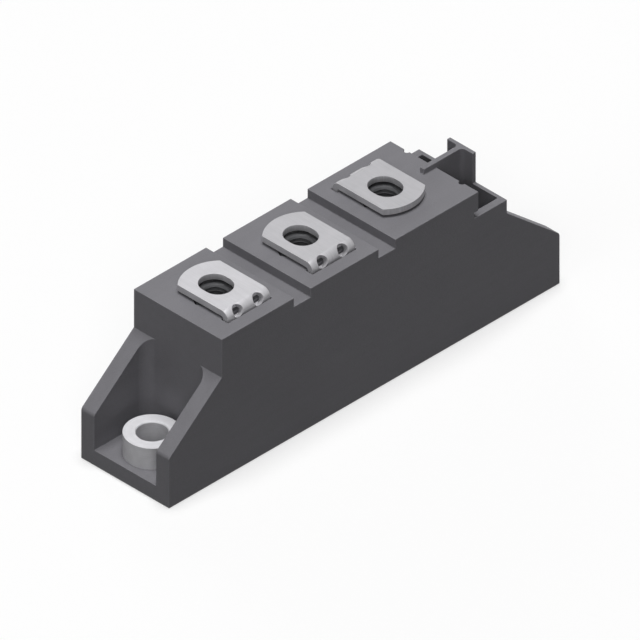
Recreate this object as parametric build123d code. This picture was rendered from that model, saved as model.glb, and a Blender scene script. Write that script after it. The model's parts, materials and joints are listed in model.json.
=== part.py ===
from build123d import *
import math
import os

# Rectifier diode module: a moulded housing with a screw-down lug at each end, three bent
# terminals over captive nuts, and two diode chips soldered to a copper-clad ceramic tile.
# X runs along the module, from the near lug to the far lug with the T-shaped rib.
# Y runs across it, towards the free ends of terminals 1 and 2.
# Z is up. The origin is in the middle of the cooling face, which the module stands on.
# A station is a distance along the module, measured from its near end.

# Housing, outside
WIDTH = 20.8
HOUSING_TOP = 28.4
COPPER_PROUD = 0.1          # the cooling copper stands this far below the housing
GROOVE_WIDTH = 3.95
GROOVE_DEPTH = 1.8

# Screw-down lugs
LUG_LENGTH = 12.45
LUG_TIP_HEIGHT = 10.25
LUG_ROOT_HEIGHT = 20.65
LUG_TIP_RADIUS = 1.0        # where each cheek's slope meets the lug's end
LUG_FLOOR_TOP = 3.2
CHEEK_THICKNESS = 3.1
LUG_CORNER_RADIUS = 2.3     # between each cheek and the body
NEAR_HOLE_TO_BODY = 6.02
FAR_HOLE_TO_BODY = 6.58

# Mounting bushes, moulded into the lugs
BUSH_DIAMETER = 10.0
BUSH_BORE = 5.5
BUSH_TOP = 7.5
BUSH_LOCK_WIDTH = 1.0
BUSH_LOCK_DEPTH = 0.5
BUSH_BORE_CHAMFER = 0.2

# Housing, inside
SIDE_WALL = 2.2
END_WALL = 2.0
ROOF = 2.0
TILE_LEDGE = 0.7            # overlap of the tile with the housing's seat for it

# Two open pockets at the far end, parted by a T-shaped rib
RIM_TOP = 23.4
POCKET_FLOOR = 15.4
POCKET_FLOOR_THICKNESS = 1.8
POCKET_LENGTH = 6.0
END_RIM = 0.75
SIDE_RIM = 1.5
RIB_THICKNESS = 1.0
RIB_TOP = 29.5
RIB_RUN_ON = 2.95           # the rib's reach on to the top of the last block
FLANGE_WIDTH = 6.1
RIB_CORNER_RADIUS = 0.8     # between the rib's web and its flange
GUIDE_RADIUS = 0.6
GUIDE_OFFSET = 6.5
NOTCH_LENGTH = 1.0
NOTCH_HEIGHT = 1.15

# Terminals
TERMINAL_COUNT = 3
TERMINAL_PITCH = 20.0
FIRST_TERMINAL = 9.05       # from the body's near end to the first screw hole
LAST_TERMINAL = 11.6        # from the last screw hole to the last block's end
TAB_TOP = 30.1
TAB_WIDTH = 10.05
TAB_THICKNESS = 1.2
TAB_REACH = 6.4             # from the screw hole's centre to the tip
TAB_SHOULDER = 2.0          # depth of the rounded tip
TAB_SHIFT = 0.3             # terminals 1 and 2 stand off-centre on their hole
LEG_TO_WALL = 0.7           # from the leg's outer face to the cavity's side wall
BEND_RADIUS = 1.5           # outside radius at the housing's top
SCREW_HOLE_WIDTH = 5.4
SCREW_HOLE_LENGTH = 6.35
RELIEF_DIAMETER = 2.25
RELIEF_SPACING = 4.8
RELIEF_ANGLE = 60.0         # the relief holes' lean in the bend, from straight down
LEG_WIDTH = 6.0
LEG_NECK = 2.4              # full width carries on this far below the housing's top
FOOT_RADIUS = 0.6           # inside radius at the foot
FOOT_END = 2.2              # from the centre line to the foot's end
SLOT_CLEARANCE = 0.2

# Captive nuts
NUT_FLATS = 8.0
NUT_HEIGHT = 4.0
NUT_THREAD = 5.0
NUT_MINOR = 4.2
NUT_CORNER_ANGLE = 30.0     # slope of the turned corners
NUT_CLEARANCE = 0.25
NUT_TOP_CLEARANCE = 0.1
WELL_WALL = 1.2
SCREW_WELL_DIAMETER = 6.2
SCREW_WELL_DEPTH = 4.6

# Copper-clad ceramic tile
COPPER = 0.3
CERAMIC = 0.63
COPPER_EDGE = 0.8           # bare ceramic around the cooling copper
CIRCUIT_EDGE = 0.3          # bare ceramic between the circuit copper and the cavity wall
CIRCUIT_GAP = 0.8
GLUE_SIDE = 0.25
GLUE_TOP = 0.15

# Circuit on the tile
SOLDER = 0.1
CHIP_SIDE = 11.0
CHIP_THICKNESS = 0.35
CHIP_BEVEL = 0.15
FOOT_MARGIN = 0.9           # circuit copper beyond each terminal foot
JUMPER_WIDTH = 6.0
JUMPER_THICKNESS = 0.8
JUMPER_RADIUS = 0.5
JUMPER_TO_FOOT = 0.8
JUMPER_CONTACT = 6.0
JUMPER_LANDING = 2.4
JUMPER_RISE = 1.6
JUMPER_MARGIN = 0.6
GEL_TOP = 11.0

# Heights that follow from the sizes above
HOUSING_BOTTOM = COPPER_PROUD
TILE_BOTTOM = COPPER
TILE_TOP = TILE_BOTTOM + CERAMIC
LEDGE = TILE_TOP + GLUE_TOP
PAD_TOP = TILE_TOP + COPPER
JOINT_TOP = PAD_TOP + SOLDER
CHIP_TOP = JOINT_TOP + CHIP_THICKNESS
GROOVE_FLOOR = HOUSING_TOP - GROOVE_DEPTH
NUT_SEAT = HOUSING_TOP - NUT_TOP_CLEARANCE - NUT_HEIGHT
CUT = 5.0                   # how far a cutting tool runs past an open face

# Stations and half widths that follow
BODY_START = LUG_LENGTH
TERMINAL_STATION = BODY_START + FIRST_TERMINAL
BLOCK_END = TERMINAL_STATION + (TERMINAL_COUNT - 1) * TERMINAL_PITCH + LAST_TERMINAL
POCKET_END = BLOCK_END + POCKET_LENGTH
BODY_END = POCKET_END + END_RIM
LENGTH = BODY_END + LUG_LENGTH
MOUNT_STATIONS = (BODY_START - NEAR_HOLE_TO_BODY, BODY_END + FAR_HOLE_TO_BODY)
CAVITY_START = BODY_START + END_WALL
CAVITY_END = BODY_END - END_WALL
CAVITY_HALF = WIDTH / 2 - SIDE_WALL
ROOM_END = BLOCK_END - END_WALL
POCKET_HALF = WIDTH / 2 - SIDE_RIM
LEG_FACE = CAVITY_HALF - LEG_TO_WALL
JUMPER_OFFSET = JUMPER_WIDTH / 2 + JUMPER_TO_FOOT - FOOT_END


def span(start, end, half_width, bottom, top, middle=0.0):
    """A block from one station to another, with its half width across the module."""
    length = end - start
    place = ((start + end) / 2 - LENGTH / 2, middle, (bottom + top) / 2)
    return Pos(*place) * Box(length, 2 * half_width, top - bottom)


def column(station, offset, radius, bottom, top):
    """An upright cylinder at a station, offset across the module."""
    return Pos(station - LENGTH / 2, offset, (bottom + top) / 2) * Cylinder(radius, top - bottom)


def hexagon(station, flats, bottom, top):
    """An upright hexagonal prism with corners towards the module's ends."""
    outline = RegularPolygon(flats / 2, 6, major_radius=False)
    return Pos(station - LENGTH / 2, 0, bottom) * extrude(outline, amount=top - bottom)


def terminal_station(index):
    return TERMINAL_STATION + index * TERMINAL_PITCH


def terminal_side(index):
    """The side that a terminal's leg stands on: the last one faces the others."""
    return 1 if index == TERMINAL_COUNT - 1 else -1


def tab_station(index):
    shift = TAB_SHIFT if terminal_side(index) < 0 else 0.0
    return terminal_station(index) + shift


def groove_stations():
    """The grooves lie half way between neighbouring terminals."""
    return [terminal_station(index) + TERMINAL_PITCH / 2 for index in range(TERMINAL_COUNT - 1)]


def block_limits():
    """Start and end station of each raised block between the grooves."""
    starts = [BODY_START] + [station + GROOVE_WIDTH / 2 for station in groove_stations()]
    ends = [station - GROOVE_WIDTH / 2 for station in groove_stations()] + [BLOCK_END]
    return list(zip(starts, ends))


def side_outline():
    """The housing seen from its long side."""
    corners = [
        (0, HOUSING_BOTTOM),
        (LENGTH, HOUSING_BOTTOM),
        (LENGTH, LUG_TIP_HEIGHT),
        (BODY_END, LUG_ROOT_HEIGHT),
        (BODY_END, RIM_TOP),
        (BLOCK_END, RIM_TOP),
        (BLOCK_END, HOUSING_TOP),
        (BODY_START, HOUSING_TOP),
        (BODY_START, LUG_ROOT_HEIGHT),
        (0, LUG_TIP_HEIGHT),
    ]
    points = [(station - LENGTH / 2, height) for station, height in corners]
    outline = make_face(Polyline(*points, close=True))
    tips = outline.vertices().group_by(Axis.Y)[1]
    return Plane.XZ * fillet(tips, LUG_TIP_RADIUS)


def lug_recesses():
    """The open room between each lug's cheeks, with rounded corners at the body."""
    half = WIDTH / 2 - CHEEK_THICKNESS
    room = span(-CUT, BODY_START, half, LUG_FLOOR_TOP, HOUSING_TOP)
    body_corners = room.edges().filter_by(Axis.Z).sort_by(Axis.X)[-2:]
    near = fillet(body_corners, LUG_CORNER_RADIUS)
    return [near, mirror(near, about=Plane.YZ)]


def bush_profile(clear_bore):
    """Half section of a bush, or of the hole that it fills if its bore is left solid."""
    inner = BUSH_BORE / 2 if clear_bore else 0.0
    outer = BUSH_DIAMETER / 2
    lock_middle = (HOUSING_BOTTOM + LUG_FLOOR_TOP) / 2
    lock_bottom = lock_middle - BUSH_LOCK_WIDTH / 2
    lock_top = lock_middle + BUSH_LOCK_WIDTH / 2
    lip = BUSH_BORE_CHAMFER if clear_bore else 0.0
    points = [
        (inner, HOUSING_BOTTOM),
        (outer, HOUSING_BOTTOM),
        (outer, lock_bottom),
        (outer - BUSH_LOCK_DEPTH, lock_bottom),
        (outer - BUSH_LOCK_DEPTH, lock_top),
        (outer, lock_top),
        (outer, BUSH_TOP),
        (inner + lip, BUSH_TOP),
    ]
    if lip:
        points.append((inner, BUSH_TOP - lip))
    return Plane.XZ * make_face(Polyline(*points, close=True))


def bush(station, clear_bore=True):
    turned = revolve(bush_profile(clear_bore), Axis.Z)
    return Pos(station - LENGTH / 2, 0, 0) * turned


def leg_slot(index):
    """The slot in the housing's top that a terminal's leg goes down through."""
    middle = tab_station(index)
    half = TAB_WIDTH / 2 + SLOT_CLEARANCE
    thickness = TAB_THICKNESS + 2 * SLOT_CLEARANCE
    offset = terminal_side(index) * (LEG_FACE - TAB_THICKNESS / 2)
    return span(middle - half, middle + half, thickness / 2,
                HOUSING_TOP - ROOF - CUT, HOUSING_TOP + CUT, offset)


def nut_well(index):
    """The moulded cup that hangs from the roof around a nut and its screw's end."""
    station = terminal_station(index)
    cup = hexagon(station, NUT_FLATS + 2 * (NUT_CLEARANCE + WELL_WALL),
                  NUT_SEAT - WELL_WALL, HOUSING_TOP - ROOF / 2)
    tail = column(station, 0, SCREW_WELL_DIAMETER / 2 + WELL_WALL,
                  NUT_SEAT - SCREW_WELL_DEPTH - WELL_WALL, NUT_SEAT)
    return cup + tail


def nut_pocket(index):
    station = terminal_station(index)
    pocket = hexagon(station, NUT_FLATS + 2 * NUT_CLEARANCE, NUT_SEAT, HOUSING_TOP + CUT)
    return pocket + column(station, 0, SCREW_WELL_DIAMETER / 2,
                           NUT_SEAT - SCREW_WELL_DEPTH, HOUSING_TOP)


def cavity():
    """The room for the circuit: low under the end pockets, high under each block."""
    roof = GROOVE_FLOOR - ROOF
    room = span(CAVITY_START, CAVITY_END, CAVITY_HALF,
                HOUSING_BOTTOM, POCKET_FLOOR - POCKET_FLOOR_THICKNESS)
    room += span(CAVITY_START, ROOM_END, CAVITY_HALF, LEDGE, roof)
    for start, end in block_limits():
        inner_start = max(start, BODY_START) + END_WALL
        room += span(inner_start, end - END_WALL, CAVITY_HALF, LEDGE, HOUSING_TOP - ROOF)
    return room


def tile_seat():
    """The shallow seat under the housing that the tile is glued into."""
    return span(CAVITY_START - TILE_LEDGE - GLUE_SIDE, CAVITY_END + TILE_LEDGE + GLUE_SIDE,
                CAVITY_HALF + TILE_LEDGE + GLUE_SIDE, HOUSING_BOTTOM - CUT, LEDGE)


def end_pockets():
    """The two open pockets, with a guide groove in the wall that each shares with the block."""
    pockets = []
    for side in (-1, 1):
        near = RIB_THICKNESS / 2
        middle = side * (near + POCKET_HALF) / 2
        pocket = span(BLOCK_END, POCKET_END, (POCKET_HALF - near) / 2,
                      POCKET_FLOOR, HOUSING_TOP + CUT, middle)
        guide = column(BLOCK_END, side * GUIDE_OFFSET, GUIDE_RADIUS,
                       POCKET_FLOOR, HOUSING_TOP + CUT)
        notch = span(BLOCK_END - NOTCH_LENGTH, BLOCK_END, SIDE_RIM / 2,
                     RIM_TOP, RIM_TOP + NOTCH_HEIGHT, side * (POCKET_HALF + SIDE_RIM / 2))
        pockets += [pocket, guide, notch]
    return pockets


def end_rib():
    """The T-shaped rib that keeps the two pockets apart, rounded where web and flange meet."""
    web = span(BLOCK_END - RIB_RUN_ON, POCKET_END, RIB_THICKNESS / 2, POCKET_FLOOR, RIB_TOP)
    flange = span(POCKET_END, BODY_END, FLANGE_WIDTH / 2, POCKET_FLOOR, RIB_TOP)
    where_they_meet = (web + flange).edges().filter_by(Axis.Z).group_by(Axis.X)[1]
    inner_corners = where_they_meet.sort_by(lambda edge: abs(edge.center().Y))[:2]
    return fillet(inner_corners, RIB_CORNER_RADIUS)


def housing():
    shell = extrude(side_outline(), amount=WIDTH / 2, both=True)
    for recess in lug_recesses():
        shell -= recess
    for station in groove_stations():
        shell -= span(station - GROOVE_WIDTH / 2, station + GROOVE_WIDTH / 2, WIDTH,
                      GROOVE_FLOOR, HOUSING_TOP + CUT)
    shell -= cavity()
    shell -= tile_seat()
    for index in range(TERMINAL_COUNT):
        shell += nut_well(index)
    for cutter in end_pockets():
        shell -= cutter
    shell += end_rib()
    for index in range(TERMINAL_COUNT):
        shell -= nut_pocket(index)
        shell -= leg_slot(index)
    for station in MOUNT_STATIONS:
        shell -= bush(station, clear_bore=False)
    return shell


def tab_outline():
    """The tab from above: straight sides, a rounded tip and the oblong screw hole."""
    half = TAB_WIDTH / 2
    tip_radius = (TAB_SHOULDER ** 2 + half ** 2) / (2 * TAB_SHOULDER)
    reach = TAB_REACH + LEG_FACE
    strip = Pos(0, (TAB_REACH - LEG_FACE) / 2) * Rectangle(TAB_WIDTH, reach)
    inside_tip = Pos(0, TAB_REACH - tip_radius) * Circle(tip_radius)
    behind_tip = Pos(0, TAB_REACH - TAB_SHOULDER - reach / 2) * Rectangle(TAB_WIDTH, reach)
    return strip & (inside_tip + behind_tip)


def strip_path(*points, radii):
    return FilletPolyline(*points, radius=radii)


def terminal(index):
    """A terminal bent from one strip: tab, leg and a foot that is soldered to the circuit."""
    middle = TAB_THICKNESS / 2
    leg = LEG_FACE - middle
    path = Plane.YZ * strip_path(
        (TAB_REACH, TAB_TOP - middle),
        (-leg, TAB_TOP - middle),
        (-leg, JOINT_TOP + middle),
        (-FOOT_END, JOINT_TOP + middle),
        radii=[BEND_RADIUS - middle, FOOT_RADIUS + middle],
    )
    section = Plane(path @ 0, x_dir=(1, 0, 0), z_dir=path % 0) * Rectangle(TAB_WIDTH, TAB_THICKNESS)
    strip = sweep(section, path=path)
    above = extrude(Pos(0, 0, JOINT_TOP - CUT) * tab_outline(), amount=TAB_TOP + 2 * CUT)
    strip = strip & above
    neck_bottom = HOUSING_TOP - LEG_NECK
    for side in (-1, 1):
        trim = (TAB_WIDTH - LEG_WIDTH) / 2
        strip -= Pos(side * (LEG_WIDTH / 2 + trim / 2), -LEG_FACE / 2, neck_bottom / 2) * Box(
            trim, 2 * LEG_FACE, neck_bottom)
    bend_middle = (0, BEND_RADIUS - LEG_FACE, TAB_TOP - BEND_RADIUS)
    for side in (-1, 1):
        relief = Cylinder(RELIEF_DIAMETER / 2, 2 * BEND_RADIUS,
                          align=(Align.CENTER, Align.CENTER, Align.MIN))
        strip -= Pos(side * RELIEF_SPACING / 2, 0, 0) * Pos(*bend_middle) * (
            Rot(RELIEF_ANGLE, 0, 0) * relief)
    shift = tab_station(index) - terminal_station(index)
    hole = SlotOverall(SCREW_HOLE_LENGTH, SCREW_HOLE_WIDTH, rotation=90)
    strip -= Pos(-shift, 0, TAB_TOP - CUT) * extrude(hole, amount=2 * CUT)
    turn = Rot(0, 0, 180) if terminal_side(index) > 0 else Rot(0, 0, 0)
    return Pos(tab_station(index) - LENGTH / 2, 0, 0) * (turn * strip)


def terminal_nut(index):
    """A hexagon nut with its corners turned off at both faces."""
    station = terminal_station(index)
    body = hexagon(station, NUT_FLATS, NUT_SEAT, NUT_SEAT + NUT_HEIGHT)
    corner = NUT_FLATS / math.sqrt(3)
    bevel = (corner - NUT_FLATS / 2) * math.tan(math.radians(NUT_CORNER_ANGLE))
    rounding = column(station, 0, corner, NUT_SEAT, NUT_SEAT + NUT_HEIGHT)
    rims = rounding.edges().filter_by(GeomType.CIRCLE)
    body = body & chamfer(rims, bevel, (corner - NUT_FLATS / 2))
    body -= column(station, 0, NUT_MINOR / 2, NUT_SEAT - CUT, NUT_SEAT + NUT_HEIGHT + CUT)
    mouths = body.edges().filter_by(GeomType.CIRCLE).sort_by(SortBy.RADIUS)[:2]
    return chamfer(mouths, (NUT_THREAD - NUT_MINOR) / 2)


def foot_limits(index):
    """Start and end station of a terminal's foot, which stands under its tab."""
    return tab_station(index) - LEG_WIDTH / 2, tab_station(index) + LEG_WIDTH / 2


def split_stations():
    """Middle of each gap in the circuit copper, just before the next terminal's foot."""
    return [foot_limits(index)[0] - FOOT_MARGIN for index in range(1, TERMINAL_COUNT)]


def circuit_limits(index):
    splits = split_stations()
    start = CAVITY_START + CIRCUIT_EDGE if index == 0 else splits[index - 1] + CIRCUIT_GAP / 2
    last = index == TERMINAL_COUNT - 1
    end = CAVITY_END - CIRCUIT_EDGE if last else splits[index] - CIRCUIT_GAP / 2
    return start, end


def circuit_copper(index):
    start, end = circuit_limits(index)
    return span(start, end, CAVITY_HALF - CIRCUIT_EDGE, TILE_TOP, PAD_TOP)


def ceramic_tile():
    return span(CAVITY_START - TILE_LEDGE, CAVITY_END + TILE_LEDGE,
                CAVITY_HALF + TILE_LEDGE, TILE_BOTTOM, TILE_TOP)


def cooling_copper():
    inset = COPPER_EDGE - TILE_LEDGE
    return span(CAVITY_START + inset, CAVITY_END - inset, CAVITY_HALF - inset, 0, TILE_BOTTOM)


def glue_frame():
    """The bead of glue around the tile, under and beside the housing's seat."""
    frame = span(CAVITY_START - TILE_LEDGE - GLUE_SIDE, CAVITY_END + TILE_LEDGE + GLUE_SIDE,
                 CAVITY_HALF + TILE_LEDGE + GLUE_SIDE, TILE_BOTTOM, LEDGE)
    frame -= ceramic_tile()
    return frame - span(CAVITY_START, CAVITY_END, CAVITY_HALF, TILE_TOP, LEDGE)


def chip_station(index):
    """A chip lies half way between its terminal's foot and the end of its copper."""
    return (foot_limits(index)[1] + circuit_limits(index)[1]) / 2


def diode_chip(index):
    middle = chip_station(index)
    body = span(middle - CHIP_SIDE / 2, middle + CHIP_SIDE / 2, CHIP_SIDE / 2, JOINT_TOP, CHIP_TOP)
    return chamfer(body.faces().sort_by(Axis.Z)[-1].edges(), CHIP_BEVEL)


def chip_solder(index):
    middle = chip_station(index)
    return span(middle - CHIP_SIDE / 2, middle + CHIP_SIDE / 2, CHIP_SIDE / 2, PAD_TOP, JOINT_TOP)


def foot_solder(index):
    """Solder under the flat of a terminal's foot."""
    start, end = foot_limits(index)
    heel = LEG_FACE - TAB_THICKNESS - FOOT_RADIUS
    middle = terminal_side(index) * (heel + FOOT_END) / 2
    return span(start, end, (heel - FOOT_END) / 2, PAD_TOP, JOINT_TOP, middle)


def jumper_middle(index):
    """A jumper keeps to the side away from the foot that it lands beside."""
    return -terminal_side(index + 1) * JUMPER_OFFSET


def jumper_contact_limits(index):
    middle = chip_station(index)
    return middle - JUMPER_CONTACT / 2, middle + JUMPER_CONTACT / 2


def jumper_landing_limits(index):
    start = circuit_limits(index + 1)[0] + JUMPER_MARGIN
    return start, start + JUMPER_LANDING


def chip_jumper(index):
    """A bent copper strip from the top of a chip to the next piece of circuit copper."""
    middle = JUMPER_THICKNESS / 2
    contact_start, contact_end = jumper_contact_limits(index)
    landing_start, landing_end = jumper_landing_limits(index)
    chip_level = CHIP_TOP + SOLDER + middle
    pad_level = JOINT_TOP + middle
    crest = chip_level + JUMPER_RISE
    points = [
        (contact_start, chip_level),
        (contact_end, chip_level),
        (contact_end, crest),
        (landing_start, crest),
        (landing_start, pad_level),
        (landing_end, pad_level),
    ]
    placed = [(station - LENGTH / 2, height) for station, height in points]
    path = Plane.XZ * strip_path(*placed, radii=JUMPER_RADIUS + middle)
    section = Plane(path @ 0, x_dir=(0, 1, 0), z_dir=path % 0) * Rectangle(
        JUMPER_WIDTH, JUMPER_THICKNESS)
    return Pos(0, jumper_middle(index), 0) * sweep(section, path=path)


def jumper_chip_solder(index):
    start, end = jumper_contact_limits(index)
    flat = JUMPER_RADIUS + JUMPER_THICKNESS
    return span(start, end - flat, JUMPER_WIDTH / 2, CHIP_TOP, CHIP_TOP + SOLDER,
                jumper_middle(index))


def jumper_pad_solder(index):
    start, end = jumper_landing_limits(index)
    flat = JUMPER_RADIUS + JUMPER_THICKNESS
    return span(start + flat, end, JUMPER_WIDTH / 2, PAD_TOP, JOINT_TOP, jumper_middle(index))


def circuit_nodes():
    """Everything that is soldered to the tile's top, by name."""
    nodes = {}
    for index in range(TERMINAL_COUNT):
        nodes[f"circuit_copper_{index + 1}"] = circuit_copper(index)
        nodes[f"terminal_{index + 1}"] = terminal(index)
        nodes[f"foot_solder_{index + 1}"] = foot_solder(index)
    for index in range(TERMINAL_COUNT - 1):
        nodes[f"diode_chip_{index + 1}"] = diode_chip(index)
        nodes[f"chip_solder_{index + 1}"] = chip_solder(index)
        nodes[f"chip_jumper_{index + 1}"] = chip_jumper(index)
        nodes[f"jumper_chip_solder_{index + 1}"] = jumper_chip_solder(index)
        nodes[f"jumper_pad_solder_{index + 1}"] = jumper_pad_solder(index)
    return nodes


def silicone_gel(circuit):
    """The soft gel poured over the circuit, up to well above the chips."""
    pool = span(CAVITY_START, CAVITY_END, CAVITY_HALF, TILE_TOP, GEL_TOP)
    for piece in circuit.values():
        pool -= piece
    return pool


def all_nodes():
    nodes = {"housing": housing()}
    nodes["mounting_bush_near"] = bush(MOUNT_STATIONS[0])
    nodes["mounting_bush_far"] = bush(MOUNT_STATIONS[1])
    circuit = circuit_nodes()
    nodes.update(circuit)
    for index in range(TERMINAL_COUNT):
        nodes[f"terminal_nut_{index + 1}"] = terminal_nut(index)
    nodes["ceramic_tile"] = ceramic_tile()
    nodes["cooling_copper"] = cooling_copper()
    nodes["glue_frame"] = glue_frame()
    nodes["silicone_gel"] = silicone_gel(circuit)
    return nodes


os.makedirs("parts", exist_ok=True)
for name, shape in all_nodes().items():
    export_step(shape, f"parts/{name}.step")
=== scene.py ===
import json
import math

import bpy
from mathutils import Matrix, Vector


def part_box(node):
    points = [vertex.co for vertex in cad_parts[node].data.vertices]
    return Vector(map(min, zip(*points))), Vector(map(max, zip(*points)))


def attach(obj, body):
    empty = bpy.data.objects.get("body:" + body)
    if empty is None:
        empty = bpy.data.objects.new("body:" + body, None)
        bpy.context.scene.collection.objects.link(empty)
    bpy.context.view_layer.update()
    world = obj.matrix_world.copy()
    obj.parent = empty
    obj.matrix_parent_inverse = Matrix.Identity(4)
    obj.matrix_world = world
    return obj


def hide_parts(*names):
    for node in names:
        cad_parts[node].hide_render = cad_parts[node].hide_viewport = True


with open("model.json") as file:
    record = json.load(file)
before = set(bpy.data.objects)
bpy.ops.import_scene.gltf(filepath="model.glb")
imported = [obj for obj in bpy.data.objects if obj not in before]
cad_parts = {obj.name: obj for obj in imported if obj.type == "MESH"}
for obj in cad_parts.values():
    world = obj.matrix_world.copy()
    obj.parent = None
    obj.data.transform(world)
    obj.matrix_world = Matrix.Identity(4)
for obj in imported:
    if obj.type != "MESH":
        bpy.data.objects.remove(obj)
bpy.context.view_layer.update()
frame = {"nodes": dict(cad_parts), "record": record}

# Rectifier diode module: its finishes, its captive nuts with their threads, and a plain white
# studio. Lengths are in metres, and MM turns millimetres into them. Textures are laid out in
# millimetres, so that a grain is given at its real size.

MM = 0.001
PER_MM = 1 / MM

# Camera: a parallel view from the near left corner, nearly at equal angles to the three axes
PICTURE_SIDE = 640
PIXELS_PER_MM = 5.986
PICTURE_MIDDLE = Vector((-4.619, -4.524, 15.0)) * MM
VIEW_TURN = math.radians(45)
VIEW_FALL = math.radians(35.22)
CAMERA_DISTANCE = 0.5
CAMERA_NEAR = 0.01
CAMERA_FAR = 10.0

# Lamps: one overhead, weaker ones beside the camera and beyond the near end, and a low one behind
# the part. Spread is the width of a lamp's disc, turn is about the vertical from +X, and fall is
# how far its light points below the level, all in degrees.
LAMPS = {
    "top_lamp": {"strength": 2.33, "spread": 26, "turn": 0, "fall": 90},
    "side_lamp": {"strength": 0.64, "spread": 24, "turn": 45, "fall": 35},
    "end_lamp": {"strength": 0.27, "spread": 30, "turn": 2, "fall": 30},
    "back_lamp": {"strength": 0.45, "spread": 30, "turn": 246, "fall": 10},
}
SKY_FILL = 0.05

# Floor
FLOOR_SIDE = 4.0
FLOOR_BOUNCE = 0.06
FLOOR_GLOW = 0.5            # share of the floor's white that no shadow takes away

# Terminals: each one's paleness, from the near end, darker towards the far end as a painted
# falloff of light, and the strip's thickness
TERMINAL_TONES_WITH_PAINTED_FALLOFF = (0.545, 0.455, 0.425)
TAB_THICKNESS = 1.2 * MM

# Soft edges: their widths, and the turn between two faces that counts as an edge
SOFT_EDGE = 0.12 * MM
FINE_EDGE = 0.08 * MM
SOFT_EDGE_STEPS = 2
EDGE_TURN = math.radians(32)
SMOOTH_TURN = math.radians(50)
FLAT_TURN = math.radians(0.4)
WELD_GAP = 0.001 * MM
RUBBED_EDGE_AND_SHEEN_SAMPLES = 6

# Captive nuts, M5
NUT_FLATS = 8.0 * MM
NUT_THREAD = 5.0 * MM
NUT_MINOR = 4.2 * MM
THREAD_PITCH = 0.8 * MM
THREAD_CREST = 0.12         # flat crest of the thread, as a share of half a pitch
THREAD_FLANK = 0.70         # the slope from crest to root, as a share of the same
NUT_CORNER_SLOPE = math.tan(math.radians(30))
MOUTH_SLOPE = 1.0
TURN_STEPS = 144
THREAD_STEPS = 10
CORNER_STEPS = 6


class Tree:
    """Adds nodes to a shader or geometry tree and joins them up."""

    def __init__(self, tree):
        self.tree = tree

    def add(self, kind, **settings):
        node = self.tree.nodes.new(kind)
        for name, value in settings.items():
            setattr(node, name, value)
        return node

    def feed(self, socket, source):
        if isinstance(source, bpy.types.NodeSocket):
            self.tree.links.new(source, socket)
        else:
            socket.default_value = source

    def math(self, operation, *sources, clamp=False):
        node = self.add("ShaderNodeMath", operation=operation, use_clamp=clamp)
        for socket, source in zip(node.inputs, sources):
            self.feed(socket, source)
        return node.outputs[0]

    def stretch(self, vector, factors):
        node = self.add("ShaderNodeVectorMath", operation="MULTIPLY")
        self.feed(node.inputs[0], vector)
        self.feed(node.inputs[1], factors)
        return node.outputs["Vector"]

    def parts(self, vector):
        node = self.add("ShaderNodeSeparateXYZ")
        self.feed(node.inputs[0], vector)
        return node.outputs

    def noise(self, vector, scale=1.0, detail=2.0, roughness=0.5):
        node = self.add("ShaderNodeTexNoise")
        self.feed(node.inputs["Vector"], vector)
        self.feed(node.inputs["Scale"], scale)
        self.feed(node.inputs["Detail"], detail)
        self.feed(node.inputs["Roughness"], roughness)
        return node.outputs["Fac"]

    def spread(self, value, low, high, new_low=0.0, new_high=1.0):
        """Value from low to high becomes new_low to new_high, and stops there."""
        node = self.add("ShaderNodeMapRange", clamp=True)
        for name, source in (("Value", value), ("From Min", low), ("From Max", high),
                             ("To Min", new_low), ("To Max", new_high)):
            self.feed(node.inputs[name], source)
        return node.outputs["Result"]

    def blend(self, share, first, second):
        """Two colours mixed by a mask."""
        node = self.add("ShaderNodeMix", data_type="RGBA")
        self.feed(node.inputs["Factor"], share)
        self.feed(node.inputs[6], first)
        self.feed(node.inputs[7], second)
        return node.outputs[2]

    def group(self, effect, **inputs):
        node = self.add("ShaderNodeGroup", node_tree=effect)
        for name, source in inputs.items():
            self.feed(node.inputs[name.replace("_", " ").capitalize()], source)
        return node.outputs


def effect(name, inputs, outputs):
    """An empty shader group with named sockets, with its inputs, its outputs and its tree."""
    group = bpy.data.node_groups.new(name, "ShaderNodeTree")
    for socket, kind in inputs.items():
        group.interface.new_socket(socket, in_out="INPUT", socket_type=f"NodeSocket{kind}")
    for socket, kind in outputs.items():
        group.interface.new_socket(socket, in_out="OUTPUT", socket_type=f"NodeSocket{kind}")
    tree = Tree(group)
    return group, tree, tree.add("NodeGroupInput").outputs, tree.add("NodeGroupOutput").inputs


def place_in_mm():
    """The point's place on the part, in millimetres."""
    group, tree, _, out = effect("Place in millimetres", {}, {"Place": "Vector"})
    place = tree.add("ShaderNodeTexCoord").outputs["Object"]
    tree.feed(out["Place"], tree.stretch(place, (PER_MM, PER_MM, PER_MM)))
    return group


def moulded_grain():
    """The fine spark-eroded grain of a mould, its slow mottle, and flow along the module."""
    group, tree, given, out = effect(
        "Moulded grain", {"Place": "Vector", "Grain": "Float"},
        {"Height": "Float", "Mottle": "Float", "Speckle": "Float"})
    place = given["Place"]
    scale = tree.math("DIVIDE", 1.0, given["Grain"])
    fine = tree.noise(place, scale, detail=3.0, roughness=0.6)
    coarse = tree.noise(place, tree.math("MULTIPLY", scale, 0.31), detail=2.0)
    height = tree.math("ADD", tree.math("MULTIPLY", fine, 0.65),
                       tree.math("MULTIPLY", coarse, 0.35))
    tree.feed(out["Height"], height)
    cloud = tree.noise(place, 0.11, detail=4.0, roughness=0.55)
    flow = tree.noise(tree.stretch(place, (0.05, 0.55, 0.55)), 1.0, detail=3.0)
    mottle = tree.math("ADD", tree.math("MULTIPLY", cloud, 0.6), tree.math("MULTIPLY", flow, 0.4))
    tree.feed(out["Mottle"], tree.spread(mottle, 0.36, 0.64))
    tree.feed(out["Speckle"], tree.spread(fine, 0.3, 0.7))
    return group


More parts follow.
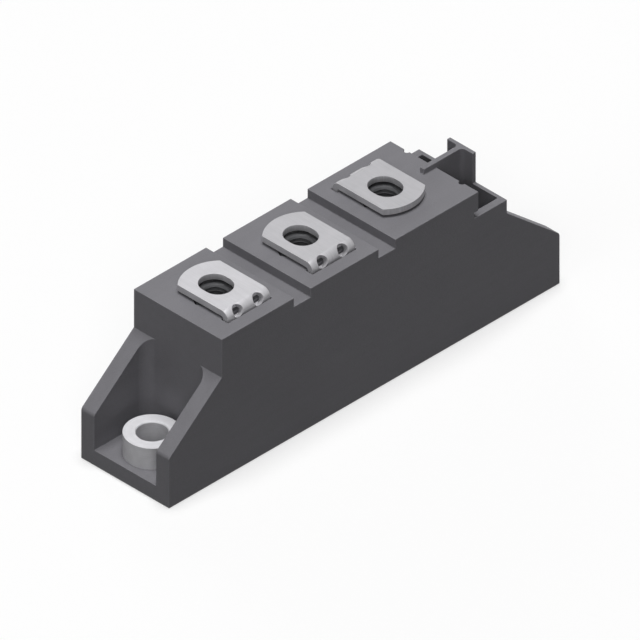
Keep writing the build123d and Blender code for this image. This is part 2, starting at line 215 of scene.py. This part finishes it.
def rolled_grain():
    """Fine lines left along a strip by the rolls, running along Y on top and down the leg."""
    group, tree, given, out = effect(
        "Rolled grain", {"Place": "Vector", "Lines": "Float"},
        {"Height": "Float", "Streaks": "Float", "Cloud": "Float"})
    place = given["Place"]
    drawn_out = tree.stretch(place, (7.0, 0.22, 0.22))
    lines = tree.noise(drawn_out, given["Lines"], detail=4.0, roughness=0.65)
    satin = tree.noise(place, 5.0, detail=2.0)
    height = tree.math("ADD", tree.math("MULTIPLY", lines, 0.7), tree.math("MULTIPLY", satin, 0.3))
    tree.feed(out["Height"], height)
    tree.feed(out["Streaks"], tree.spread(lines, 0.32, 0.68))
    cloud = tree.noise(place, 0.35, detail=3.0, roughness=0.5)
    tree.feed(out["Cloud"], tree.spread(cloud, 0.35, 0.65))
    return group


def turned_rings():
    """Tool marks around the axis of the nearer mounting bush."""
    group, tree, given, out = effect(
        "Turned rings",
        {"Place": "Vector", "Middle": "Float", "Reach": "Float", "Rings": "Float"},
        {"Height": "Float", "Streaks": "Float"})
    x, y, z = tree.parts(given["Place"])
    off_middle = tree.math("ABSOLUTE", tree.math("SUBTRACT", x, given["Middle"]))
    along = tree.math("SUBTRACT", off_middle, given["Reach"])
    radius = tree.math("SQRT", tree.math("ADD", tree.math("MULTIPLY", along, along),
                                         tree.math("MULTIPLY", y, y)))
    join = tree.add("ShaderNodeCombineXYZ")
    tree.feed(join.inputs[0], tree.math("MULTIPLY", radius, given["Rings"]))
    tree.feed(join.inputs[1], tree.math("MULTIPLY", z, given["Rings"]))
    marks = tree.noise(join.outputs[0], 1.0, detail=3.0, roughness=0.7)
    blur = tree.noise(given["Place"], 0.9, detail=2.0)
    tree.feed(out["Height"], marks)
    mixed = tree.math("ADD", tree.math("MULTIPLY", marks, 0.6), tree.math("MULTIPLY", blur, 0.4))
    tree.feed(out["Streaks"], tree.spread(mixed, 0.34, 0.66))
    return group


def sheared_edge():
    """Where a stamped strip was cut: its two sides, its tip and the walls of its holes."""
    group, tree, given, out = effect(
        "Sheared edge", {"Place": "Vector", "Tab underside": "Float"}, {"Share": "Float"})
    facing = tree.parts(tree.add("ShaderNodeTexCoord").outputs["Normal"])
    sideways = tree.spread(tree.math("ABSOLUTE", facing[0]), 0.55, 0.8)
    upright = tree.spread(tree.math("ABSOLUTE", facing[2]), 0.55, 0.3)
    height = tree.parts(given["Place"])[2]
    above = tree.spread(tree.math("SUBTRACT", height, given["Tab underside"]), -0.05, 0.0)
    tree.feed(out["Share"], tree.math("MAXIMUM", sideways, tree.math("MULTIPLY", upright, above)))
    return group


def rubbed_edge_and_painted_sheen():
    """Outer edges and corners, where handling polishes a surface, and where the finishes also
    paint a paler sheen as a painted highlight.
    """
    group, tree, given, out = effect("Rubbed edge and painted sheen", {"Place": "Vector", "Width": "Float"},
                                     {"Share": "Float"})
    rounded = tree.add("ShaderNodeBevel", samples=RUBBED_EDGE_AND_SHEEN_SAMPLES)
    tree.feed(rounded.inputs["Radius"], given["Width"])
    turn = tree.add("ShaderNodeVectorMath", operation="DOT_PRODUCT")
    tree.feed(turn.inputs[0], rounded.outputs[0])
    tree.feed(turn.inputs[1], tree.add("ShaderNodeNewGeometry").outputs["Normal"])
    edge = tree.spread(turn.outputs["Value"], 0.995, 0.86)
    patchy = tree.spread(tree.noise(given["Place"], 0.8, detail=3.0), 0.3, 0.7, 0.35, 1.0)
    tree.feed(out["Share"], tree.math("MULTIPLY", edge, patchy))
    return group


PLACE = place_in_mm()
MOULDED = moulded_grain()
ROLLED = rolled_grain()
TURNED = turned_rings()
SHEARED = sheared_edge()
RUBBED_AND_PAINTED_SHEEN = rubbed_edge_and_painted_sheen()


def grey(level, tint=(1.0, 1.0, 1.0)):
    return tuple(level * share for share in tint) + (1.0,)


def finish_named(name, **constants):
    """A material with a Principled shader, whose plain values are set on its own sockets."""
    material = bpy.data.materials.new(name)
    material.use_nodes = True
    tree = Tree(material.node_tree)
    shader = material.node_tree.nodes["Principled BSDF"]
    for socket, value in constants.items():
        shader.inputs[socket.replace("_", " ")].default_value = value
    place = tree.group(PLACE)["Place"]
    return material, tree, shader, place


def raise_surface(tree, shader, height, depth, strength=1.0):
    bump = tree.add("ShaderNodeBump")
    tree.feed(bump.inputs["Height"], height)
    tree.feed(bump.inputs["Distance"], depth)
    tree.feed(bump.inputs["Strength"], strength)
    tree.feed(shader.inputs["Normal"], bump.outputs["Normal"])


def moulded_plastic():
    """Dark grey glass-filled plastic, straight from a spark-eroded mould."""
    material, tree, shader, place = finish_named(
        "Moulded plastic", IOR=1.5, Specular_IOR_Level=0.2)
    grain = tree.group(MOULDED, place=place, grain=0.22)
    rubbed_and_painted_sheen = tree.group(RUBBED_AND_PAINTED_SHEEN, place=place, width=0.35 * MM)["Share"]
    cool = (0.98, 0.965, 1.04)
    body = tree.blend(grain["Mottle"], grey(0.170, cool), grey(0.196, cool))
    specked = tree.blend(tree.math("MULTIPLY", grain["Speckle"], 0.3), body, grey(0.245, cool))
    # Edges painted paler: partly wear from handling, partly a painted highlight along the edges.
    colour = tree.blend(tree.math("MULTIPLY", rubbed_and_painted_sheen, 0.35), specked, grey(0.27, cool))
    tree.feed(shader.inputs["Base Color"], colour)
    rough = tree.spread(grain["Mottle"], 0.0, 1.0, 0.54, 0.66)
    tree.feed(shader.inputs["Roughness"],
              tree.math("SUBTRACT", rough, tree.math("MULTIPLY", rubbed_and_painted_sheen, 0.14)))
    raise_surface(tree, shader, grain["Height"], 0.06 * MM, 0.8)
    return material


def plated_strip(name, level):
    """Nickel-plated copper strip: rolled grain on its faces, a darker and duller cut edge."""
    material, tree, shader, place = finish_named(name)
    grain = tree.group(ROLLED, place=place, lines=1.0)
    cut = tree.group(SHEARED, place=place, tab_underside=TAB_UNDERSIDE)["Share"]
    rubbed_and_painted_sheen = tree.group(RUBBED_AND_PAINTED_SHEEN, place=place, width=0.2 * MM)["Share"]
    cool = (0.99, 0.98, 1.02)
    # The level sets the paleness of the plated faces; between the terminals its differences are a
    # painted falloff of light.
    face = tree.blend(grain["Streaks"], grey(level * 0.88, cool), grey(level * 1.04, cool))
    face = tree.blend(tree.math("MULTIPLY", grain["Cloud"], 0.35), face, grey(level * 1.1, cool))
    # Edges painted paler: partly wear from handling, partly a painted highlight along the edges.
    face = tree.blend(tree.math("MULTIPLY", rubbed_and_painted_sheen, 0.4), face, grey(min(1.0, level * 1.2), cool))
    torn = tree.blend(grain["Streaks"], grey(0.39, cool), grey(0.50, cool))
    tree.feed(shader.inputs["Base Color"], tree.blend(cut, face, torn))
    tree.feed(shader.inputs["Metallic"], tree.spread(cut, 0.0, 1.0, 0.34, 0.28))
    rough = tree.spread(grain["Streaks"], 0.0, 1.0, 0.52, 0.64)
    tree.feed(shader.inputs["Roughness"],
              tree.math("ADD", rough, tree.math("MULTIPLY", cut, 0.06)))
    raise_surface(tree, shader, grain["Height"], 0.02 * MM, 0.8)
    return material


def turned_bush():
    """Zinc-plated steel, its end and bore cut on a lathe, with its upward faces painted paler than
    its sides as painted light from above.
    """
    material, tree, shader, place = finish_named("Turned bush")
    marks = tree.group(TURNED, place=place, middle=BUSH_MIDDLE, reach=BUSH_REACH, rings=7.0)
    rubbed_and_painted_sheen = tree.group(RUBBED_AND_PAINTED_SHEEN, place=place, width=0.25 * MM)["Share"]
    cool = (0.99, 0.985, 1.02)
    # The upward faces are painted paler than the sides, as painted light from above.
    facing = tree.parts(tree.add("ShaderNodeTexCoord").outputs["Normal"])
    painted_top_light_share = tree.spread(facing[2], 0.6, 0.9)
    side = tree.blend(marks["Streaks"], grey(0.55, cool), grey(0.66, cool))
    top = tree.blend(marks["Streaks"], grey(0.68, cool), grey(0.79, cool))
    colour = tree.blend(painted_top_light_share, side, top)
    # Edges painted paler: partly wear from handling, partly a painted highlight along the edges.
    tree.feed(shader.inputs["Base Color"],
              tree.blend(tree.math("MULTIPLY", rubbed_and_painted_sheen, 0.4), colour, grey(0.86, cool)))
    tree.feed(shader.inputs["Metallic"], tree.spread(marks["Streaks"], 0.0, 1.0, 0.08, 0.16))
    tree.feed(shader.inputs["Roughness"], tree.spread(marks["Streaks"], 0.0, 1.0, 0.55, 0.66))
    raise_surface(tree, shader, marks["Height"], 0.015 * MM, 0.7)
    return material


def blackened_steel():
    """Black oxide on the captive nuts, worn paler along the crests and corners."""
    material, tree, shader, place = finish_named("Blackened steel")
    grain = tree.group(MOULDED, place=place, grain=0.3)
    rubbed_and_painted_sheen = tree.group(RUBBED_AND_PAINTED_SHEEN, place=place, width=0.12 * MM)["Share"]
    cool = (0.97, 0.98, 1.05)
    film = tree.blend(grain["Mottle"], grey(0.045, cool), grey(0.065, cool))
    tree.feed(shader.inputs["Base Color"],
              tree.blend(tree.math("MULTIPLY", rubbed_and_painted_sheen, 0.4), film, grey(0.11, cool)))
    tree.feed(shader.inputs["Metallic"], tree.spread(rubbed_and_painted_sheen, 0.0, 1.0, 0.3, 0.6))
    tree.feed(shader.inputs["Roughness"], tree.spread(grain["Mottle"], 0.0, 1.0, 0.55, 0.68))
    raise_surface(tree, shader, grain["Height"], 0.01 * MM, 0.6)
    return material


def bare_copper():
    """Copper bonded to the ceramic tile, with a thin cloud of oxide."""
    material, tree, shader, place = finish_named("Bare copper")
    grain = tree.group(ROLLED, place=place, lines=0.6)
    oxide = tree.blend(grain["Cloud"], (0.80, 0.40, 0.26, 1.0), (0.66, 0.30, 0.19, 1.0))
    bright = tree.math("MULTIPLY", grain["Streaks"], 0.4)
    streaked = tree.blend(bright, oxide, (0.87, 0.49, 0.34, 1.0))
    tree.feed(shader.inputs["Base Color"], streaked)
    tree.feed(shader.inputs["Metallic"], tree.spread(grain["Cloud"], 0.0, 1.0, 1.0, 0.92))
    tree.feed(shader.inputs["Roughness"], tree.spread(grain["Cloud"], 0.0, 1.0, 0.3, 0.46))
    raise_surface(tree, shader, grain["Height"], 0.01 * MM, 0.5)
    return material


def alumina():
    """White fired ceramic with a fine grain."""
    material, tree, shader, place = finish_named("Alumina", IOR=1.77)
    grain = tree.group(MOULDED, place=place, grain=0.12)
    tree.feed(shader.inputs["Base Color"],
              tree.blend(grain["Mottle"], (0.80, 0.79, 0.75, 1.0), (0.87, 0.86, 0.83, 1.0)))
    tree.feed(shader.inputs["Roughness"], tree.spread(grain["Speckle"], 0.0, 1.0, 0.38, 0.52))
    raise_surface(tree, shader, grain["Height"], 0.008 * MM, 0.5)
    return material


def silicon():
    """Diode chips: metallised top, dark sawn edge."""
    material, tree, shader, place = finish_named("Silicon")
    grain = tree.group(MOULDED, place=place, grain=0.5)
    facing = tree.parts(tree.add("ShaderNodeTexCoord").outputs["Normal"])
    top = tree.spread(facing[2], 0.7, 0.95)
    metal = tree.blend(grain["Mottle"], (0.52, 0.53, 0.55, 1.0), (0.62, 0.63, 0.64, 1.0))
    tree.feed(shader.inputs["Base Color"], tree.blend(top, (0.06, 0.065, 0.085, 1.0), metal))
    tree.feed(shader.inputs["Metallic"], tree.spread(top, 0.0, 1.0, 0.5, 1.0))
    tree.feed(shader.inputs["Roughness"], tree.spread(grain["Speckle"], 0.0, 1.0, 0.22, 0.34))
    raise_surface(tree, shader, grain["Height"], 0.004 * MM, 0.5)
    return material


def solder():
    """Solder that has flowed and set, with a soft grain."""
    material, tree, shader, place = finish_named("Solder")
    grain = tree.group(MOULDED, place=place, grain=0.7)
    tree.feed(shader.inputs["Base Color"],
              tree.blend(grain["Mottle"], (0.50, 0.51, 0.53, 1.0), (0.64, 0.65, 0.66, 1.0)))
    tree.feed(shader.inputs["Metallic"], tree.spread(grain["Mottle"], 0.0, 1.0, 0.94, 1.0))
    tree.feed(shader.inputs["Roughness"], tree.spread(grain["Speckle"], 0.0, 1.0, 0.26, 0.42))
    raise_surface(tree, shader, grain["Height"], 0.03 * MM, 0.6)
    return material


def silicone_glue():
    """The grey bead that seals the tile in the housing."""
    material, tree, shader, place = finish_named("Silicone glue", IOR=1.43)
    grain = tree.group(MOULDED, place=place, grain=1.1)
    tree.feed(shader.inputs["Base Color"], tree.blend(grain["Mottle"], grey(0.50), grey(0.58)))
    tree.feed(shader.inputs["Roughness"], tree.spread(grain["Mottle"], 0.0, 1.0, 0.34, 0.48))
    raise_surface(tree, shader, grain["Height"], 0.02 * MM, 0.5)
    return material


def silicone_gel():
    """Clear soft gel over the circuit, faintly cloudy."""
    material, tree, shader, place = finish_named(
        "Silicone gel", IOR=1.41, Transmission_Weight=0.85)
    grain = tree.group(MOULDED, place=place, grain=2.5)
    tree.feed(shader.inputs["Base Color"],
              tree.blend(grain["Mottle"], (0.88, 0.88, 0.84, 1.0), (0.94, 0.94, 0.92, 1.0)))
    tree.feed(shader.inputs["Roughness"], tree.spread(grain["Speckle"], 0.0, 1.0, 0.08, 0.16))
    raise_surface(tree, shader, grain["Height"], 0.03 * MM, 0.3)
    return material


def smooth_faces():
    """A modifier tree that shades faces smooth, and keeps edges of a real turn crisp."""
    group = bpy.data.node_groups.new("Smooth faces", "GeometryNodeTree")
    group.interface.new_socket("Mesh", in_out="INPUT", socket_type="NodeSocketGeometry")
    group.interface.new_socket("Mesh", in_out="OUTPUT", socket_type="NodeSocketGeometry")
    tree = Tree(group)
    given = tree.add("NodeGroupInput").outputs[0]
    turn = tree.add("GeometryNodeInputMeshEdgeAngle").outputs["Unsigned Angle"]
    gentle = tree.add("FunctionNodeCompare", data_type="FLOAT", operation="LESS_EQUAL")
    tree.feed(gentle.inputs[0], turn)
    tree.feed(gentle.inputs[1], SMOOTH_TURN)
    edges = tree.add("GeometryNodeSetShadeSmooth", domain="EDGE")
    tree.feed(edges.inputs["Geometry"], given)
    tree.feed(edges.inputs["Shade Smooth"], gentle.outputs[0])
    faces = tree.add("GeometryNodeSetShadeSmooth", domain="FACE")
    tree.feed(faces.inputs["Geometry"], edges.outputs[0])
    tree.feed(tree.add("NodeGroupOutput").inputs[0], faces.outputs[0])
    return group


SMOOTH_FACES = smooth_faces()


def shade_smooth(piece):
    smooth = piece.modifiers.new("smooth faces", "NODES")
    smooth.node_group = SMOOTH_FACES


def soften(piece, width):
    """Clean faces and a small round on each edge, all as modifiers."""
    weld = piece.modifiers.new("weld", "WELD")
    weld.merge_threshold = WELD_GAP
    flat = piece.modifiers.new("flat faces", "DECIMATE")
    flat.decimate_type = "DISSOLVE"
    flat.angle_limit = FLAT_TURN
    bevel = piece.modifiers.new("soft edges", "BEVEL")
    bevel.offset_type = "WIDTH"
    bevel.width = width
    bevel.segments = SOFT_EDGE_STEPS
    bevel.limit_method = "ANGLE"
    bevel.angle_limit = EDGE_TURN
    bevel.use_clamp_overlap = False
    bevel.loop_slide = False
    bevel.miter_outer = "MITER_ARC"
    shade_smooth(piece)
    even = piece.modifiers.new("even shading", "WEIGHTED_NORMAL")
    even.keep_sharp = True


def nut_ring(angle, bottom, top):
    """One closed section of a nut, cut by a half plane through its axis, as radius and height."""
    corner_turn = math.pi / 3
    half_turn = corner_turn / 2
    half_flats = NUT_FLATS / 2
    off_corner = (angle + half_turn) % corner_turn - half_turn
    hexagon = half_flats / math.cos(abs(abs(off_corner) - half_turn))
    corner = half_flats / math.cos(half_turn)
    bevel = (corner - half_flats) * NUT_CORNER_SLOPE
    steps = [bevel * step / CORNER_STEPS for step in range(CORNER_STEPS + 1)]
    outer = [(min(hexagon, half_flats + rise / NUT_CORNER_SLOPE), bottom + rise)
             for rise in steps]
    outer += [(min(hexagon, half_flats + drop / NUT_CORNER_SLOPE), top - drop)
              for drop in reversed(steps)]
    count = round((top - bottom) / THREAD_PITCH * THREAD_STEPS)
    inner = []
    for step in range(count + 1):
        height = top - (top - bottom) * step / count
        turns = (height - bottom) / THREAD_PITCH - angle / (2 * math.pi)
        wave = abs((turns % 1.0) * 2 - 1)
        groove = min(1.0, max(0.0, (wave - THREAD_CREST) / THREAD_FLANK))
        thread = NUT_MINOR / 2 + (NUT_THREAD - NUT_MINOR) / 2 * groove
        mouth = NUT_THREAD / 2 - MOUTH_SLOPE * min(top - height, height - bottom)
        inner.append((max(thread, mouth), height))
    return outer + inner


def threaded_nut(number):
    """A captive nut with its real thread, in the place of the plain one."""
    plain = f"terminal_nut_{number}"
    low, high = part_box(plain)
    middle = (low + high) / 2
    points = []
    faces = []
    for turn in range(TURN_STEPS):
        angle = 2 * math.pi * turn / TURN_STEPS
        ring = nut_ring(angle, low.z, high.z)
        count = len(ring)
        across, along = math.cos(angle), math.sin(angle)
        points += [(middle.x + radius * across, middle.y + radius * along, height)
                   for radius, height in ring]
        start, after = turn * count, (turn + 1) % TURN_STEPS * count
        for place in range(count):
            follow = (place + 1) % count
            faces.append((start + place, after + place, after + follow, start + follow))
    mesh = bpy.data.meshes.new(f"threaded_nut_{number}")
    mesh.from_pydata(points, [], faces)
    mesh.update()
    nut = bpy.data.objects.new(f"threaded_nut_{number}", mesh)
    bpy.context.scene.collection.objects.link(nut)
    shade_smooth(nut)
    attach(nut, "root")
    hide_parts(plain)
    return nut


def wear(piece, material):
    piece.data.materials.clear()
    piece.data.materials.append(material)


def dress_part():
    """Gives the nodes their finishes, soft edges to the terminals, housing and bushes and smooth
    shading to the rest, and sets the threaded nuts in place.
    """
    by_slot = {
        "moulded_plastic": moulded_plastic(),
        "bush_metal": turned_bush(),
        "blackened_steel": blackened_steel(),
        "bare_copper": bare_copper(),
        "alumina": alumina(),
        "silicon": silicon(),
        "solder": solder(),
        "silicone_glue": silicone_glue(),
        "silicone_gel": silicone_gel(),
    }
    # Each terminal gets its own paleness, darker towards the far end as a painted falloff of
    # light.
    for number, level in enumerate(TERMINAL_TONES_WITH_PAINTED_FALLOFF, start=1):
        terminal = frame["nodes"][f"terminal_{number}"]
        wear(terminal, plated_strip(f"Plated strip {number}", level))
        soften(terminal, FINE_EDGE)
        wear(threaded_nut(number), by_slot["blackened_steel"])
    for subpart in frame["record"]["subparts"]:
        if subpart["material_slot"] in by_slot:
            wear(frame["nodes"][subpart["node"]], by_slot[subpart["material_slot"]])
    soften(frame["nodes"]["housing"], SOFT_EDGE)
    for bush in ("mounting_bush_near", "mounting_bush_far"):
        soften(frame["nodes"][bush], FINE_EDGE)
    for subpart in frame["record"]["subparts"]:
        piece = frame["nodes"][subpart["node"]]
        if not piece.modifiers:
            shade_smooth(piece)


def shown_white(tree):
    """1 for rays that show the background: from the camera, mirrored or let through."""
    path = tree.add("ShaderNodeLightPath")
    direct = tree.math("MAXIMUM", path.outputs["Is Camera Ray"], path.outputs["Is Glossy Ray"])
    return tree.math("MAXIMUM", direct, path.outputs["Is Transmission Ray"])


def pale_floor():
    """A white floor that the part stands on, and that throws little light back up."""
    bpy.ops.mesh.primitive_plane_add(size=FLOOR_SIDE)
    floor = bpy.context.object
    floor.name = "studio_floor"
    material = bpy.data.materials.new("Studio floor")
    material.use_nodes = True
    tree = Tree(material.node_tree)
    tree.tree.nodes.clear()
    shown = shown_white(tree)
    matt = tree.add("ShaderNodeBsdfDiffuse")
    tree.feed(matt.inputs["Color"], tree.blend(shown, grey(FLOOR_BOUNCE), grey(1.0)))
    glow = tree.add("ShaderNodeEmission")
    mixed = tree.add("ShaderNodeMixShader")
    tree.feed(mixed.inputs[0], tree.math("MULTIPLY", shown, FLOOR_GLOW))
    tree.feed(mixed.inputs[1], matt.outputs[0])
    tree.feed(mixed.inputs[2], glow.outputs[0])
    tree.feed(tree.add("ShaderNodeOutputMaterial").inputs["Surface"], mixed.outputs[0])
    wear(floor, material)


def studio_sky():
    """White behind the part, and a weak even fill on it."""
    world = bpy.data.worlds.new("Studio sky")
    world.use_nodes = True
    bpy.context.scene.world = world
    tree = Tree(world.node_tree)
    tree.tree.nodes.clear()
    sky = tree.add("ShaderNodeBackground")
    tree.feed(sky.inputs["Color"], grey(1.0))
    tree.feed(sky.inputs["Strength"], tree.spread(shown_white(tree), 0.0, 1.0, SKY_FILL, 1.0))
    tree.feed(tree.add("ShaderNodeOutputWorld").inputs["Surface"], sky.outputs[0])


def falling(turn, fall):
    """A direction that is turned about the vertical from +X, and falls by an angle."""
    level = math.cos(fall)
    return Vector((level * math.cos(turn), level * math.sin(turn), -math.sin(fall)))


def soft_lamp(name, strength, spread, turn, fall):
    """A distant lamp with a wide disc, so that its shadows are soft."""
    light = bpy.data.lights.new(name, "SUN")
    light.energy = strength
    light.angle = math.radians(spread)
    direction = falling(math.radians(turn), math.radians(fall))
    lamp = bpy.data.objects.new(name, light)
    lamp.rotation_euler = direction.to_track_quat("-Z", "Y").to_euler()
    bpy.context.scene.collection.objects.link(lamp)


def studio_lamps():
    for name, lamp in LAMPS.items():
        soft_lamp(name, **lamp)


def parallel_camera():
    data = bpy.data.cameras.new("camera")
    data.type = "ORTHO"
    data.ortho_scale = PICTURE_SIDE / PIXELS_PER_MM * MM
    data.clip_start = CAMERA_NEAR
    data.clip_end = CAMERA_FAR
    look = falling(VIEW_TURN, VIEW_FALL)
    camera = bpy.data.objects.new("camera", data)
    camera.location = PICTURE_MIDDLE - look * CAMERA_DISTANCE
    camera.rotation_euler = look.to_track_quat("-Z", "Y").to_euler()
    bpy.context.scene.collection.objects.link(camera)
    bpy.context.scene.camera = camera


# What the finishes take from the part, in millimetres: the height of the tabs' undersides, and
# where the bushes are
TAB_UNDERSIDE = (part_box("terminal_1")[1].z - TAB_THICKNESS) * PER_MM
near_bush = sum(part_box("mounting_bush_near"), Vector()) / 2
far_bush = sum(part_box("mounting_bush_far"), Vector()) / 2
BUSH_MIDDLE = (near_bush.x + far_bush.x) / 2 * PER_MM
BUSH_REACH = (far_bush.x - near_bush.x) / 2 * PER_MM

parallel_camera()
studio_sky()
studio_lamps()
pale_floor()
dress_part()
bpy.context.scene.view_settings.view_transform = "Standard"
